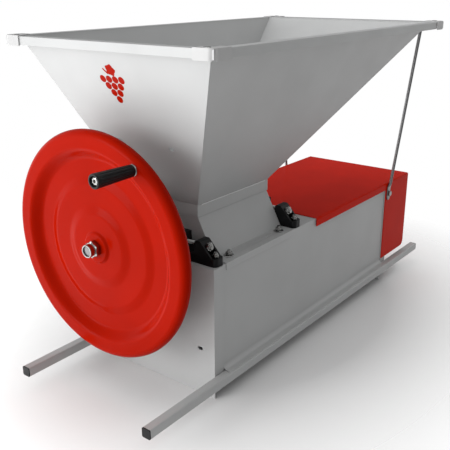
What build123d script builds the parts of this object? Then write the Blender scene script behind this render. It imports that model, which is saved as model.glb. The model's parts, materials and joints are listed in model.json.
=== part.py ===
"""Hand-cranked grape crusher with a destemming drum under the crushing rollers.

X runs along the machine from the flywheel to the stem outlet, Y across it and Z up.
The origin is the middle of the machine's outline, at the level of the lower edges of
the end panels. Lengths are in millimetres. A distance called u is counted from the
machine's centre plane, outwards on either side. Right is the -Y side, left the +Y side.
"""
from build123d import *
import math
import os

# Overall sizes
skid_length = 1154.0
skid_nose = 209.0            # from the front end of the skids to the front panel
body_length = 743.0
body_width = 320.0
body_height = 281.5          # top of the deck
hopper_length = 910.0
hopper_width = 509.2
overall_height = 701.0
hopper_overhang = 112.0      # hopper rim ahead of the front panel

# Sheet metal
sheet = 2.0
end_flange = 29.0            # side flanges of the end panels
end_tab_z = 12.0             # lower end of those flanges
foot_bend = 10.0             # bend radius at the foot of a side panel
deck_overlap = 20.0          # deck carried on under the stem cover
panel_bar = 20.0             # strip left above the opening in the rear panel
seam = 1.0                   # gap between a side panel's foot and the front flange

# Skids
tube = 20.0
tube_wall = 1.5
tube_corner = 3.0
tube_underside_z = 32.0
plug_cap = 2.0
plug_depth = 12.0
plug_play = 0.2

# Crushing section
housing_setback = 48.0       # front plate behind the front panel
housing_length = 238.0
housing_rise = 77.5          # top of the housing above the deck
housing_inset = 38.0         # foot of a skirt in from the body's side
housing_neck_u = 82.0
housing_foot_front = 8.0
housing_lip = 15.0
throat_margin = 4.0
collar_height = 25.0

# Hopper rim
rim_lip = 16.0
front_rim = 18.7
rear_rim = 42.2
side_rim = 18.8
cap_leg = 43.0
cap_wall = 2.4
cap_top = 1.6
cap_height = 18.0
cap_corner = 14.0
cap_width = 23.0
cap_screw_in_x = 9.0         # from the end of the rim
cap_screw_in_u = 20.0        # from the side of the rim
cap_screw_tail = 3.0
cap_screw_head_r = 6.5
cap_screw_head = 1.2

# Stem cover and struts
cover_start = 378.0          # from the front panel to the front edge of the cover
cover_reach = 141.0          # hood behind the rear panel
cover_lip = 20.0
hood_bottom_z = 65.0
hood_corner = 16.0
cover_edge = 5.0
strut_r = 4.0
strut_plate = 3.0
strut_plate_width = 18.0
strut_foot_x = 13.0          # from the rear panel to the strut's foot
strut_foot_drop = 29.5       # below the deck
strut_head_in_x = 32.0       # from the rear end of the rim
strut_head_in_u = 42.6       # from the side of the rim
strut_eye = 14.0
strut_gap = 1.0              # between a strut and the side of the hood

# Drive
shaft_r = 10.0
shaft_play = 2.0             # round a shaft where it passes through a plate
shaft_proud = 4.0            # shaft beyond its last bearing or gear
shaft_chamfer = 1.0
roller_rise = 33.5           # roller axes above the deck
roller_clearance = 5.0       # between a lobe and the other roller's core
lobe_height = 7.0
lobe_r = 10.0
lobe_count = 6
roller_end_gap = 12.0
gear_module = 4.0
roller_teeth = 20
drive_teeth = 60
pinion_teeth = 20
gear_width = 16.0
gear_thinning = 0.35
pressure_angle = math.radians(20.0)
drive_gear_gap = 56.0        # drive gear's rear face ahead of the front panel
roller_gear_gap = 28.0       # roller gears' rear face ahead of the front panel
seat = 0.05                  # radial clearance of a bore on its shaft
slide_gap = 0.3              # clearance between pieces that slide on each other
roller_travel = 5.0

# Bearing blocks
block_width = 29.0
block_gap = 2.0              # from the housing plates' side of the deck
block_inner_u = 14.0
block_side_gap = 3.0         # in from the body's side
block_nose = 16.0
block_height = 52.0
block_saddle = 22.0          # height between the bush's housing and the horn
block_cheek = 4.0
block_corner = 10.0
horn_height = 46.5
horn_foot = 10.0             # end of the slope, in from the outer end of the block
horn_outer = 38.0            # outer and inner sides of the horn's top, from that end
horn_inner = 52.0
horn_edge = 5.0
window_play = 11.0
window_wall = 8.0
bush_half = 15.0
bush_height = 29.0
rod_r = 5.0
rod_seat = 31.0              # seat of the adjusting nut, in from the outer end
rod_end = 19.0
rod_nut_af = 17.0
rod_nut_height = 7.5

# Flywheel, hub and handle
wheel_r = 228.5
wheel_reach = 116.0          # front of the wheel ahead of the front panel
wheel_sheet = 3.0
wheel_steps = ((27.0, 34.0), (62.0, 87.0), (121.0, 144.0))   # radii where each pressed step starts and ends
step_depth = 5.0
boss_setback = 3.0
rim_ramp = (58.5, 32.5)      # the ramp up to the rim, counted inwards from the edge
step_round = 4.0
bead_r = 14.0
hub_length = 23.0
hub_sleeve = 11.0
hub_sleeve_r = 13.0
hub_af = 30.0
hub_recess = 3.0
set_screw_r = 3.0
set_screw_back = 6.0         # from the hub's rear face
spacer_r = 20.0
handle_inset = 20.0          # from the edge of the wheel
handle_angle = 123.7         # from +Y towards +Z
grip_length = 88.0
grip_tip_r = 13.5
grip_root_r = 11.0
grip_recess_r = 9.0
grip_recess = 8.0
grip_edge = 2.0
handle_washer_height = 3.0
m8_r = 4.0
m8_af = 13.0
m8_height = 5.3
m8_nut_height = 6.3
m8_hole_r = 4.3
thread_proud = 4.5

# Destemming drum
grid_play = 18.0             # between the paddles and the grid
grid_hole_r = 11.0
grid_pitch = 36.0
grid_angles = (-66, -44, -22, 0, 22, 44, 66)
grid_end_gap = 2.0
beater_shaft_r = 12.5
paddle_r = 112.0
paddle_root_r = 88.0
paddle_length = 40.0
paddle_thickness = 5.0
paddle_pitch_angle = 30.0
arm_r = 5.0
arm_step = 52.0
arm_turn = 45.0
arm_start = 58.0             # first arm behind the front panel
bearing_r = 24.0
bearing_side = 70.0
bearing_corner = 8.0
bearing_depth = 12.0
bearing_bolt_r = 33.0
bearing_bolts = 4
bearing_bolt_reach = 16.0
bracket_half = 46.0
bracket_lap = 12.0           # bracket beyond the opening in the rear panel
bracket_thickness = 4.0
shaft_tail = 6.0

# Fasteners and slots
washer_r = 11.0
washer_thickness = 2.0
housing_bolt_front = 26.0    # from the housing's front plate
housing_bolt_rear = 34.0     # from its rear plate
housing_bolt_in = 21.0       # in from the body's side
block_bolt_in = 11.0         # in from the outer end of the block
block_screw_out = 44.0       # outwards from the roller's axis
block_screw_depth = 12.0
slot_width = 7.0
slot_length = 12.0
guard_slot_in = 37.0         # in from the body's side
guard_slot_z = 103.0
hopper_slot_u = 68.5
hopper_slot_z = 503.5

# Places that follow from the sizes above
roller_u = gear_module * roller_teeth / 2
roller_core_r = roller_u - (lobe_height + roller_clearance) / 2
mid_y = (hopper_width / 2 + cap_wall - roller_u - wheel_r) / 2
body_front_x = skid_nose - skid_length / 2
body_rear_x = body_front_x + body_length
body_u = body_width / 2
side_u = body_u - sheet
deck_z = body_height
roller_z = deck_z + roller_rise
housing_top_z = deck_z + housing_rise
collar_top_z = housing_top_z + collar_height
housing_base_u = body_u - housing_inset
housing_bolt_u = body_u - housing_bolt_in
tube_top_z = tube_underside_z + tube
housing_front_x = body_front_x + housing_setback
housing_rear_x = housing_front_x + housing_length
collar_u = housing_neck_u + sheet
rim_front_x = body_front_x - hopper_overhang
rim_rear_x = rim_front_x + hopper_length
rim_u = hopper_width / 2
rim_under_z = overall_height - sheet
mouth_front_x = rim_front_x + front_rim
mouth_rear_x = rim_rear_x - rear_rim
mouth_u = rim_u - side_rim
cover_front_x = body_front_x + cover_start
cover_rear_x = body_rear_x + cover_reach
cover_u = body_u + sheet
cover_z = deck_z + sheet
strut_foot_z = deck_z - strut_foot_drop
grid_r = paddle_r + grid_play
arm_count = int((body_length - 2 * arm_start) // arm_step) + 1
wheel_front_x = body_front_x - wheel_reach
beater_distance = gear_module * (drive_teeth + pinion_teeth) / 2
beater_z = roller_z - math.sqrt(beater_distance ** 2 - roller_u ** 2)
drive_gear_x = body_front_x - drive_gear_gap - gear_width
roller_gear_x = body_front_x - roller_gear_gap - gear_width
front_block_x = housing_front_x - housing_foot_front - block_gap - block_width
rear_block_x = housing_rear_x + block_gap
shaft_end_x = rear_block_x + block_width + shaft_proud
block_outer_u = body_u - block_side_gap
block_bolt_u = block_outer_u - block_bolt_in
block_screw_u = roller_u + block_screw_out
rod_seat_u = block_outer_u - rod_seat
rod_end_u = block_outer_u - rod_end
window_half = bush_height / 2 + slide_gap
window_inner_u = roller_u - bush_half - slide_gap
window_outer_u = roller_u + bush_half + window_play
hub_back_x = wheel_front_x + wheel_sheet
hub_front_x = hub_back_x - hub_length
grip_root_x = wheel_front_x - handle_washer_height - slide_gap
grip_tip_x = grip_root_x - grip_length
handle_u = roller_u + (wheel_r - handle_inset) * math.cos(math.radians(handle_angle))
handle_z = roller_z + (wheel_r - handle_inset) * math.sin(math.radians(handle_angle))
sides = {"right": -1, "left": 1}


def across(x, u=0.0, z=0.0):
    """Plane that faces +X, with its X along Y and its origin at (x, u, z)."""
    return Plane(origin=(x, mid_y + u, z), x_dir=(0, 1, 0), z_dir=(1, 0, 0))


def level(z, x=0.0, u=0.0):
    """Horizontal plane with its origin at (x, u, z)."""
    return Plane(origin=(x, mid_y + u, z))


def outward(side, u, x, z):
    """Plane that faces away from the centre plane on one side, at a distance u."""
    return Plane(origin=(x, mid_y + side * u, z), x_dir=(1, 0, 0), z_dir=(0, side, 0))


def span(side, inner, outer):
    """The stretch from inner to outer on one side of the centre plane."""
    return tuple(sorted((side * inner, side * outer)))


def slab(x, u, z, mode=Mode.ADD):
    """A box between two values of each of x, u and z."""
    middle = ((x[0] + x[1]) / 2, mid_y + (u[0] + u[1]) / 2, (z[0] + z[1]) / 2)
    with Locations(middle):
        Box(x[1] - x[0], u[1] - u[0], z[1] - z[0], mode=mode)


def rod(plane, radius, length, mode=Mode.ADD):
    """A cylinder that stands on a plane."""
    with Locations(plane.location):
        Cylinder(radius, length, align=(Align.CENTER, Align.CENTER, Align.MIN), mode=mode)


def save(piece, name):
    """Labels a finished piece and writes its file."""
    piece.part.label = name
    export_step(piece.part, f"parts/{name}.step")


def laid(run, rise):
    """Horizontal thickness of a sheet that leans by run over rise."""
    return sheet * math.hypot(run, rise) / rise


def gear_points(teeth, phase):
    """Outline of an involute gear, with the middle of a tooth at the angle phase."""
    pitch_r = gear_module * teeth / 2
    base_r = pitch_r * math.cos(pressure_angle)
    tip_r = pitch_r + gear_module
    root_r = pitch_r - 1.25 * gear_module
    half = (math.pi * gear_module / 2 - gear_thinning) / (2 * pitch_r)
    half += math.tan(pressure_angle) - pressure_angle
    flank = [(root_r, half)]
    for step in range(4):
        r = max(base_r, root_r) + (tip_r - max(base_r, root_r)) * step / 3
        lean = math.acos(min(1.0, base_r / r))
        flank.append((r, half - math.tan(lean) + lean))
    points = []
    for tooth in range(teeth):
        middle = phase + 2 * math.pi * tooth / teeth
        turns = [(r, middle - a) for r, a in flank] + [(r, middle + a) for r, a in reversed(flank)]
        points += [(r * math.cos(a), r * math.sin(a)) for r, a in turns]
    return points


def make_end_panel(name, x, inner, beater_hole):
    """End panel: a sheet with side flanges; inner is +1 at the front and -1 at the rear."""
    flange_end = x + end_flange
    with BuildPart() as panel:
        slab((x, x + sheet), (-body_u, body_u), (0, deck_z))
        for side in sides.values():
            slab((x, flange_end), span(side, side_u, body_u), (end_tab_z, deck_z))
        for corner in panel.edges().filter_by(Axis.Y).filter_by_position(Axis.Z, end_tab_z - 1, end_tab_z + 1):
            if abs(corner.center().X - flange_end) < sheet / 2:
                chamfer(corner, end_tab_z - 1)
        with BuildSketch(across(x, 0, beater_z)):
            Circle(beater_hole)
            with Locations((0, deck_z - sheet - panel_bar - beater_z)):
                Rectangle(4 * body_u, 4 * body_u, align=(Align.CENTER, Align.MIN), mode=Mode.SUBTRACT)
        extrude(amount=sheet, mode=Mode.SUBTRACT)
        if inner < 0:
            for side in sides.values():
                foot = outward(side, side_u - sheet, body_rear_x + strut_foot_x, strut_foot_z)
                rod(foot, m8_hole_r, 3 * sheet, Mode.SUBTRACT)
        if inner > 0:
            with BuildSketch(across(x)):
                slot_u = body_u - guard_slot_in
                with Locations((-slot_u, guard_slot_z), (slot_u, guard_slot_z)):
                    SlotOverall(slot_length, slot_width)
            extrude(amount=sheet, mode=Mode.SUBTRACT)
            with Locations(across(x, 0, beater_z).location):
                with PolarLocations(bearing_bolt_r, bearing_bolts, start_angle=45):
                    Cylinder(m8_hole_r, 4 * sheet, mode=Mode.SUBTRACT)
    save(panel, name)


def make_side_panel(name, side):
    """Side panel whose foot bends outwards over the skid tube."""
    bend = (side_u + foot_bend, tube_top_z + sheet + foot_bend)
    foot_u = body_u + tube - sheet
    with BuildPart() as panel:
        slab((body_front_x + sheet, body_rear_x - sheet), span(side, side_u - sheet, side_u), (bend[1], deck_z))
        with BuildSketch(across(body_front_x + end_flange + seam)):
            with BuildLine():
                Polyline((side_u - sheet, bend[1]), (side_u, bend[1]))
                CenterArc(bend, foot_bend, 180, 90)
                Polyline((bend[0], tube_top_z + sheet), (foot_u, tube_top_z + sheet),
                         (foot_u, tube_top_z), (bend[0], tube_top_z))
                CenterArc(bend, foot_bend + sheet, 180, 90)
            make_face()
            if side < 0:
                mirror(about=Plane.YZ, mode=Mode.REPLACE)
        extrude(amount=body_length - end_flange - seam - sheet)
    save(panel, name)


def make_skid_tube(name, side):
    """Square tube that the machine stands on."""
    centre = side * (body_u + tube / 2)
    with BuildPart() as skid:
        with BuildSketch(across(plug_cap - skid_length / 2, centre, tube_underside_z + tube / 2)):
            RectangleRounded(tube, tube, tube_corner)
            RectangleRounded(tube - 2 * tube_wall, tube - 2 * tube_wall, tube_corner - tube_wall, mode=Mode.SUBTRACT)
        extrude(amount=skid_length - 2 * plug_cap)
    save(skid, name)


def make_end_plugs():
    """Four plastic plugs, each a cap with a spigot in the tube."""
    spigot = tube - 2 * tube_wall - plug_play
    with BuildPart() as plugs:
        for side in sides.values():
            for end in (-1, 1):
                edge = end * (skid_length / 2 - plug_cap)
                centre = side * (body_u + tube / 2)
                with BuildSketch(across(edge, centre, tube_underside_z + tube / 2)):
                    RectangleRounded(tube, tube, tube_corner)
                extrude(amount=end * plug_cap)
                with BuildSketch(across(edge, centre, tube_underside_z + tube / 2)):
                    RectangleRounded(spigot, spigot, tube_corner - tube_wall)
                extrude(amount=-end * plug_depth)
    save(plugs, "skid_end_plugs")


def make_deck():
    """Top sheet that carries the crushing section, with its throat cut out."""
    throat_u = housing_base_u - throat_margin
    with BuildPart() as top_deck:
        slab((body_front_x + sheet, cover_front_x + deck_overlap),
             (-side_u + sheet, side_u - sheet), (deck_z - sheet, deck_z))
        slab((housing_front_x + throat_margin, housing_rear_x - throat_margin),
             (-throat_u, throat_u), (deck_z - 2 * sheet, deck_z + sheet), Mode.SUBTRACT)
        drills = [(x, u) for x in block_places() for side in sides.values()
                  for u in (side * block_bolt_u, side * block_screw_u)]
        drills += housing_bolt_places()
        for x, u in drills:
            rod(level(deck_z - 2 * sheet, x, u), m8_hole_r, 4 * sheet, Mode.SUBTRACT)
    save(top_deck, "top_deck")


def block_places():
    """X of the middle of the front and the rear bearing blocks."""
    return (front_block_x + block_width / 2, rear_block_x + block_width / 2)


def housing_bolt_places():
    """(x, u) of the four bolts that hold the crusher housing down."""
    rows = (housing_front_x + housing_bolt_front, housing_rear_x - housing_bolt_rear)
    return [(x, side * housing_bolt_u) for x in rows for side in sides.values()]


def make_grid():
    """Half-round perforated grid under the beater, with a ledge along each edge."""
    start = body_front_x + sheet + grid_end_gap
    length = body_length - 2 * sheet - 2 * grid_end_gap
    with BuildPart() as grid:
        with BuildSketch(across(start, 0, beater_z)):
            Circle(grid_r + sheet)
            Circle(grid_r, mode=Mode.SUBTRACT)
            Rectangle(4 * grid_r, 2 * grid_r, align=(Align.CENTER, Align.MIN), mode=Mode.SUBTRACT)
            ledge = side_u - sheet - grid_r
            for side in sides.values():
                with Locations((side * (grid_r + ledge / 2), -sheet / 2)):
                    Rectangle(ledge, sheet)
        extrude(amount=length)
        rows = int((length - 2 * grid_pitch) // grid_pitch)
        first = start + (length - rows * grid_pitch) / 2
        holes = []
        for row in range(rows + 1):
            shift = (grid_angles[1] - grid_angles[0]) / 2 * (row % 2)
            for angle in grid_angles[:len(grid_angles) - row % 2]:
                a = math.radians(angle + shift)
                radial = (0, math.sin(a), -math.cos(a))
                centre = (first + row * grid_pitch, mid_y + grid_r * radial[1], beater_z + grid_r * radial[2])
                holes.append(Plane(origin=centre, x_dir=(1, 0, 0), z_dir=radial).location)
        with Locations(*holes):
            Cylinder(grid_hole_r, 8 * sheet, mode=Mode.SUBTRACT)
    save(grid, "destemming_grid")


def make_housing_plate(name, x):
    """End plate of the crusher housing, open where the roller shafts pass."""
    lean = laid(housing_base_u - housing_neck_u, housing_top_z - deck_z - sheet)
    base_u = housing_base_u - lean
    neck_u = housing_neck_u - lean
    shaft_hole_r = shaft_r + shaft_play
    with BuildPart() as plate:
        with BuildSketch(across(x)):
            with BuildLine():
                Polyline((-base_u, deck_z + sheet), (-base_u, deck_z), (base_u, deck_z), (base_u, deck_z + sheet),
                         (neck_u, housing_top_z), (-neck_u, housing_top_z), close=True)
            make_face()
            with Locations((roller_u, roller_z)):
                Circle(shaft_hole_r, mode=Mode.SUBTRACT)
            with Locations((-roller_u - roller_travel / 2, roller_z)):
                SlotOverall(2 * shaft_hole_r + roller_travel, 2 * shaft_hole_r, mode=Mode.SUBTRACT)
        extrude(amount=sheet)
    save(plate, name)


def make_skirt(name, side):
    """Sloping side of the crusher housing, with a foot that laps over the body's side."""
    base_z = deck_z + sheet
    lean = laid(housing_base_u - housing_neck_u, housing_top_z - base_z)
    with BuildPart() as skirt:
        with BuildSketch(across(housing_front_x)):
            with BuildLine():
                Polyline((housing_base_u, deck_z), (housing_base_u, base_z), (housing_neck_u, housing_top_z),
                         (housing_neck_u - lean, housing_top_z), (housing_base_u - lean, base_z),
                         (housing_base_u - lean, deck_z), close=True)
            make_face()
            if side < 0:
                mirror(about=Plane.YZ, mode=Mode.REPLACE)
        extrude(amount=housing_length)
        foot = (housing_front_x - housing_foot_front, housing_rear_x - block_gap)
        slab(foot, span(side, housing_base_u, body_u), (deck_z, base_z))
        slab(foot, span(side, side_u, body_u), (base_z - housing_lip, base_z))
        for x, u in housing_bolt_places():
            if u * side > 0:
                rod(level(deck_z - sheet, x, u), m8_hole_r, 4 * sheet, Mode.SUBTRACT)
    save(skirt, name)


def make_collar():
    """Band where the hopper sits on the crusher housing."""
    with BuildPart() as collar:
        slab((housing_front_x - sheet, housing_rear_x + sheet), (-collar_u, collar_u),
             (collar_top_z - collar_height, collar_top_z))
        slab((housing_front_x, housing_rear_x), (-housing_neck_u, housing_neck_u),
             (collar_top_z - 2 * collar_height, collar_top_z + collar_height), Mode.SUBTRACT)
    save(collar, "hopper_collar")


def make_hopper_end(name, end):
    """Front (end -1) or rear (end 1) panel of the hopper, with its rim."""
    foot = housing_front_x - sheet if end < 0 else housing_rear_x + sheet
    mouth = mouth_front_x if end < 0 else mouth_rear_x
    edge = rim_front_x if end < 0 else rim_rear_x
    thick = laid(abs(mouth - foot), rim_under_z - collar_top_z)
    with BuildPart() as panel:
        with BuildSketch(level(collar_top_z, foot - end * thick / 2)):
            Rectangle(thick, 2 * collar_u)
        with BuildSketch(level(rim_under_z, mouth - end * thick / 2)):
            Rectangle(thick, 2 * mouth_u)
        loft()
        slab(sorted((edge, mouth - end * thick)), (-rim_u, rim_u), (rim_under_z, overall_height))
        slab(sorted((edge, edge - end * sheet)), (-rim_u, rim_u), (overall_height - rim_lip, rim_under_z))
        for x, u in cap_screw_places():
            rod(level(rim_under_z - sheet, x, u), m8_hole_r, 4 * sheet, Mode.SUBTRACT)
        if end < 0:
            share = (hopper_slot_z - collar_top_z) / (rim_under_z - collar_top_z)
            with BuildSketch(across(foot + share * (mouth - foot) - 4 * sheet)):
                with Locations((-hopper_slot_u, hopper_slot_z), (hopper_slot_u, hopper_slot_z)):
                    SlotOverall(slot_length, slot_width)
            extrude(amount=8 * sheet, mode=Mode.SUBTRACT)
    save(panel, name)


def make_hopper_side(name, side):
    """Side panel of the hopper between the end panels, with its rim."""
    rise = rim_under_z - collar_top_z
    front_thick = laid(housing_front_x - sheet - mouth_front_x, rise)
    rear_thick = laid(mouth_rear_x - housing_rear_x - sheet, rise)
    thick = laid(mouth_u - collar_u, rise)
    foot = (housing_front_x - sheet + front_thick, housing_rear_x + sheet - rear_thick)
    mouth = (mouth_front_x + front_thick, mouth_rear_x - rear_thick)
    with BuildPart() as panel:
        with BuildSketch(level(collar_top_z, sum(foot) / 2, side * (collar_u - thick / 2))):
            Rectangle(foot[1] - foot[0], thick)
        with BuildSketch(level(rim_under_z, sum(mouth) / 2, side * (mouth_u - thick / 2))):
            Rectangle(mouth[1] - mouth[0], thick)
        loft()
        slab(mouth, span(side, mouth_u - thick, rim_u), (rim_under_z, overall_height))
        slab(mouth, span(side, rim_u - sheet, rim_u), (overall_height - rim_lip, rim_under_z))
    save(panel, name)


def make_corner_caps():
    """Four caps over the corners of the hopper's rim."""
    base_z = overall_height - cap_height
    with BuildPart() as caps:
        for end, edge in ((-1, rim_front_x), (1, rim_rear_x)):
            for side in sides.values():
                centre = (edge + end * (cap_wall - cap_leg / 2), side * (rim_u + cap_wall - cap_leg / 2))
                with BuildSketch(level(base_z, *centre)) as outer:
                    Rectangle(cap_leg, cap_leg)
                    fillet(outer.vertices().sort_by(lambda v: end * v.X + side * v.Y)[-1], cap_corner)
                extrude(amount=cap_height + cap_top)
                inner_leg = cap_leg - cap_wall
                shift = (centre[0] - end * cap_wall / 2, centre[1] - side * cap_wall / 2)
                with BuildSketch(level(base_z, *shift)):
                    Rectangle(inner_leg, inner_leg)
                extrude(amount=cap_height, mode=Mode.SUBTRACT)
                hollow = cap_leg - cap_width
                back = (edge + end * (cap_wall - cap_leg + hollow / 2), side * (rim_u + cap_wall - cap_leg + hollow / 2))
                with BuildSketch(level(base_z, *back)):
                    Rectangle(hollow, hollow)
                extrude(amount=cap_height + cap_top, mode=Mode.SUBTRACT)
        for x, u in cap_screw_places():
            rod(level(overall_height - sheet, x, u), m8_hole_r, 4 * sheet, Mode.SUBTRACT)
    save(caps, "hopper_corner_caps")


def cap_screw_places():
    """(x, u) of the screws in the corner caps, in the end panels' rims."""
    rows = (rim_front_x + cap_screw_in_x, rim_rear_x - cap_screw_in_x)
    return [(x, side * (rim_u - cap_screw_in_u)) for x in rows for side in sides.values()]


def make_cap_screws():
    """Screws that hold the corner caps down on the rim."""
    with BuildPart() as screws:
        for x, u in cap_screw_places():
            reach = cap_height + cap_screw_tail
            rod(level(overall_height - reach, x, u), m8_r, reach + cap_top)
            rod(level(overall_height + cap_top, x, u), cap_screw_head_r, cap_screw_head)
    save(screws, "cap_screws")


def make_cover():
    """Cover over the drum, with the deep hood where the stems fall out."""
    with BuildPart() as cover:
        slab((cover_front_x, cover_rear_x), (-cover_u, cover_u), (hood_bottom_z, cover_z))
        low = cover.edges().filter_by(Axis.Y).sort_by(lambda e: e.center().X - e.center().Z)[-1]
        fillet(low, hood_corner)
        top = cover.faces().sort_by(Axis.Z)[-1].edges()
        fillet(top.filter_by(Axis.X) + top.filter_by(Axis.Y).sort_by(Axis.X)[-1:], cover_edge)
        slab((cover_front_x - sheet, cover_rear_x - sheet), (-body_u, body_u),
             (hood_bottom_z - sheet, deck_z), Mode.SUBTRACT)
        slab((cover_front_x - sheet, body_rear_x), (-2 * body_u, 2 * body_u),
             (hood_bottom_z - sheet, cover_z - cover_lip), Mode.SUBTRACT)
        for side in sides.values():
            foot = outward(side, body_u - sheet, body_rear_x + strut_foot_x, strut_foot_z)
            rod(foot, m8_hole_r, 3 * sheet, Mode.SUBTRACT)
    save(cover, "stem_cover")


def make_strut(name, side):
    """Round stay from the rear rim down to the hood, flattened at both ends."""
    foot_u = cover_u + strut_r + strut_gap
    head_u = rim_u - strut_head_in_u
    foot = Vector(body_rear_x + strut_foot_x, mid_y + side * foot_u, strut_foot_z + strut_eye)
    head = Vector(rim_rear_x - strut_head_in_x, mid_y + side * head_u, rim_under_z - strut_plate)
    run = head - foot
    half = strut_plate_width / 2
    with BuildPart() as strut:
        with BuildSketch(Plane(origin=foot, z_dir=run)):
            Circle(strut_r)
        extrude(amount=run.length)
        with BuildSketch(outward(side, cover_u, body_rear_x + strut_foot_x, strut_foot_z)):
            SlotOverall(2 * strut_eye + strut_plate_width / 2, strut_plate_width, rotation=90)
            Circle(m8_hole_r, mode=Mode.SUBTRACT)
        extrude(amount=strut_plate)
        slab((head.X - half, head.X + 2 * half), span(side, head_u - half, head_u + half),
             (rim_under_z - strut_plate, rim_under_z))
    save(strut, name)


def make_strut_bolts():
    """Bolts through the struts' feet, the hood and the rear panel's flange."""
    with BuildPart() as bolts:
        for side in sides.values():
            outer = cover_u + strut_plate
            x = body_rear_x + strut_foot_x
            with BuildSketch(outward(side, outer, x, strut_foot_z)):
                RegularPolygon(m8_af / 2, 6, major_radius=False)
            extrude(amount=m8_height)
            inner = side_u - m8_height - thread_proud
            rod(outward(side, inner, x, strut_foot_z), m8_r, outer - inner)
            with BuildSketch(outward(side, side_u - m8_height, x, strut_foot_z)):
                RegularPolygon(m8_af / 2, 6, major_radius=False)
            extrude(amount=m8_height)
    save(bolts, "strut_bolts")


def block_outline():
    """(u, z) corners of a bearing block: bush housing, low saddle, sloping horn and nose."""
    housing_u = window_outer_u + window_wall
    nose_z = deck_z + block_nose
    saddle_z = deck_z + block_saddle
    horn_z = deck_z + horn_height
    return [(block_inner_u, deck_z), (block_outer_u, deck_z), (block_outer_u, nose_z),
            (block_outer_u - horn_foot, nose_z), (block_outer_u - horn_outer, horn_z),
            (block_outer_u - horn_inner, horn_z), (block_outer_u - horn_inner, saddle_z),
            (housing_u, saddle_z), (housing_u, deck_z + block_height), (block_inner_u, deck_z + block_height)]


def make_block(name, side, x, sliding):
    """Bearing block of a roller shaft; the sliding kind has a window and a hole for its screw."""
    nose_z = deck_z + block_nose
    centre = x + block_width / 2
    with BuildPart() as block:
        with BuildSketch(across(x)) as outline:
            with BuildLine():
                Polyline(*[(side * u, z) for u, z in block_outline()], close=True)
            make_face()
            fillet(outline.vertices().filter_by_position(Axis.Y, nose_z + horn_edge, deck_z + horn_height), horn_edge)
        extrude(amount=block_width)
        nose = block.edges().filter_by(Axis.Z).sort_by(lambda e: side * e.center().Y)[-2:]
        fillet(nose, block_corner)
        slab((x + block_cheek, x + block_width - block_cheek), span(side, rod_seat_u, block_outer_u + 1),
             (nose_z, deck_z + block_height), Mode.SUBTRACT)
        if sliding:
            slab((x - 1, x + block_width + 1), span(side, window_inner_u, window_outer_u),
                 (roller_z - window_half, roller_z + window_half), Mode.SUBTRACT)
            rod(outward(side, window_inner_u, centre, roller_z), rod_r + slide_gap, block_outer_u, Mode.SUBTRACT)
        else:
            rod(across(x - 1, side * roller_u, roller_z), shaft_r + seat, block_width + 2, Mode.SUBTRACT)
        rod(level(deck_z - 1, centre, side * block_bolt_u), m8_hole_r, block_nose + 2, Mode.SUBTRACT)
        rod(level(deck_z - 1, centre, side * block_screw_u), m8_r + seat, block_screw_depth + 2, Mode.SUBTRACT)
    save(block, name)


def make_bush(name, x):
    """Sliding bush that holds one end of the adjustable roller's shaft."""
    with BuildPart() as bush:
        slab((x, x + block_width), (-roller_u - bush_half, -roller_u + bush_half),
             (roller_z - bush_height / 2, roller_z + bush_height / 2))
        rod(across(x - 1, -roller_u, roller_z), shaft_r + seat, block_width + 2, Mode.SUBTRACT)
    save(bush, name)


def make_adjusters():
    """Screws that set the gap between the rollers, and their nuts."""
    with BuildPart() as screws:
        for x in block_places():
            rod(outward(-1, roller_u + bush_half, x, roller_z), rod_r, rod_end_u - roller_u - bush_half)
    save(screws, "adjuster_screws")
    with BuildPart() as nuts:
        for x in block_places():
            with BuildSketch(outward(-1, rod_seat_u + slide_gap, x, roller_z)):
                RegularPolygon(rod_nut_af / 2, 6, major_radius=False)
                Circle(rod_r + seat, mode=Mode.SUBTRACT)
            extrude(amount=rod_nut_height)
    save(nuts, "adjuster_nuts")


def make_roller(name, u, first_lobe):
    """Lobed crushing roller on its shaft."""
    with BuildPart() as roller:
        with BuildSketch(across(housing_front_x + roller_end_gap, u, roller_z)):
            Circle(roller_core_r)
            with PolarLocations(roller_core_r + lobe_height - lobe_r, lobe_count, start_angle=first_lobe):
                Circle(lobe_r)
            Circle(shaft_r + seat, mode=Mode.SUBTRACT)
        extrude(amount=housing_length - 2 * roller_end_gap)
    save(roller, name)


def make_gear(name, x, u, z, teeth, phase, bore_r):
    """Spur gear, with holes in its web where it is large enough."""
    pitch_r = gear_module * teeth / 2
    web_r = (pitch_r + bore_r) / 2
    with BuildPart() as gear:
        with BuildSketch(across(x, u, z)):
            with BuildLine():
                Polyline(*gear_points(teeth, phase), close=True)
            make_face()
            Circle(bore_r + seat, mode=Mode.SUBTRACT)
            if pitch_r > 4 * bore_r:
                with PolarLocations(web_r, 6):
                    Circle((pitch_r - bore_r) / 4, mode=Mode.SUBTRACT)
        extrude(amount=gear_width)
    save(gear, name)


def make_gears():
    """The four gears, each in mesh with its neighbour at rest."""
    to_pinion = math.atan2(beater_z - roller_z, -roller_u)
    half_pitch = math.pi / pinion_teeth
    make_gear("drive_gear", drive_gear_x, roller_u, roller_z, drive_teeth, to_pinion, shaft_r)
    make_gear("beater_pinion", drive_gear_x, 0, beater_z, pinion_teeth, to_pinion + math.pi + half_pitch, beater_shaft_r)
    make_gear("left_roller_gear", roller_gear_x, roller_u, roller_z, roller_teeth, math.pi, shaft_r)
    make_gear("right_roller_gear", roller_gear_x, -roller_u, roller_z, roller_teeth, math.pi / roller_teeth, shaft_r)


def make_shaft(name, start, end, u, z, radius):
    """Plain round shaft with chamfered ends."""
    with BuildPart() as shaft:
        rod(across(start, u, z), radius, end - start)
        chamfer(shaft.edges().filter_by(GeomType.CIRCLE), shaft_chamfer)
    save(shaft, name)


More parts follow.
